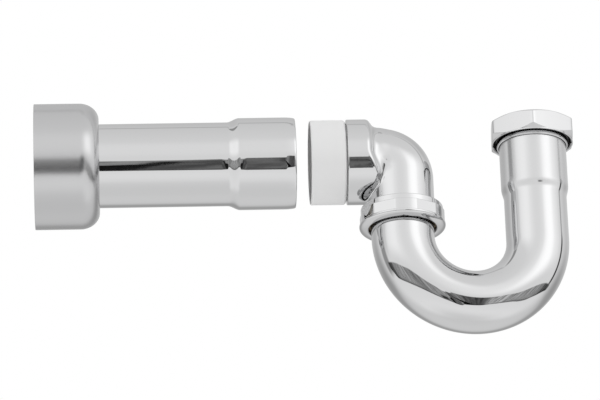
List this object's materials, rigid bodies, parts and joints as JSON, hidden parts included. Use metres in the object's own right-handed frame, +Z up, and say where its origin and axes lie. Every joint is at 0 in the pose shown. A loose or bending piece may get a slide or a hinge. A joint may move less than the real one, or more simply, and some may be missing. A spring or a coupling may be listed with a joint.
{
  "type": "p trap",
  "caption": "Chromed P-trap: cast elbow, union nut, swivelling J-bend with inlet slip nut, white pipe adapter, sliding belled cover tube and deep satin wall flange.",
  "frame": {"origin": "bottom centre of the assembly's bounding box in the rest pose; the outlet axis is upright at x = 57.0 mm, y = 0, and crosses the level pipe axis at z = 110.3 mm", "axes": "+Z up along the inlet and outlet legs, +X from the wall flange towards the J-bend along the level pipe axis, +Y away from the viewer"},
  "size_m": [0.3286, 0.0762, 0.1484],
  "materials": {
    "chrome": "polished",
    "satin_chrome": "satin",
    "spring_steel": "satin",
    "raw_brass": "machined",
    "white_pvc": "semi-gloss",
    "seal_rubber": "matte"
  },
  "bodies": {
    "adapter": {"pvc_adapter": "white_pvc", "adapter_seal": "seal_rubber"},
    "cover_tube": {"cover_tube": "chrome"},
    "flange": {"flange_shell": "satin_chrome", "flange_grip_ring": "spring_steel"},
    "elbow": {"elbow_body": "chrome", "union_seal": "seal_rubber"},
    "j_bend": {"j_bend_tube": "chrome", "j_bend_end_collar": "raw_brass", "inlet_ferrule": "chrome", "inlet_seal": "seal_rubber"},
    "union_ring": {"union_friction_ring": "spring_steel"},
    "union_nut": {"union_nut": "chrome"},
    "inlet_ring": {"inlet_friction_ring": "spring_steel"},
    "inlet_nut": {"inlet_nut": "chrome"}
  },
  "joints": [
    {"name": "cover_tube_slide", "type": "slide", "parent": "adapter", "child": "cover_tube", "axis": [1, 0, 0], "range_m": [0, 0.042]},
    {"name": "flange_slide", "type": "slide", "parent": "cover_tube", "child": "flange", "axis": [1, 0, 0], "range_m": [-0.025, 0.07]},
    {"name": "elbow_turn", "type": "hinge", "parent": "adapter", "child": "elbow", "pos_m": [0.03095, 0, 0.1103], "axis": [1, 0, 0], "range_deg": [-20, 20]},
    {"name": "j_bend_swivel", "type": "hinge", "parent": "elbow", "child": "j_bend", "pos_m": [0.05695, 0, 0.0703], "axis": [0, 0, 1], "range_deg": [-126.7, 113.3]},
    {"name": "union_nut_travel", "type": "slide", "parent": "j_bend", "child": "union_ring", "axis": [0, 0, 1], "range_m": [-0.0066, 0]},
    {"name": "union_nut_turn", "type": "hinge", "parent": "union_ring", "child": "union_nut", "pos_m": [0.05695, 0, 0.0716], "axis": [0, 0, 1], "range_deg": [-1080, 0]},
    {"name": "inlet_nut_travel", "type": "slide", "parent": "j_bend", "child": "inlet_ring", "axis": [0, 0, 1], "range_m": [0, 0.0088]},
    {"name": "inlet_nut_turn", "type": "hinge", "parent": "inlet_ring", "child": "inlet_nut", "pos_m": [0.13919, 0.00966, 0.1308], "axis": [0, 0, 1], "range_deg": [0, 1440]}
  ],
  "couplings": [
    {"joint": "union_nut_turn", "follows": "union_nut_travel", "rad_per_m": 2844.7},
    {"joint": "inlet_nut_turn", "follows": "inlet_nut_travel", "rad_per_m": 2844.7}
  ]
}
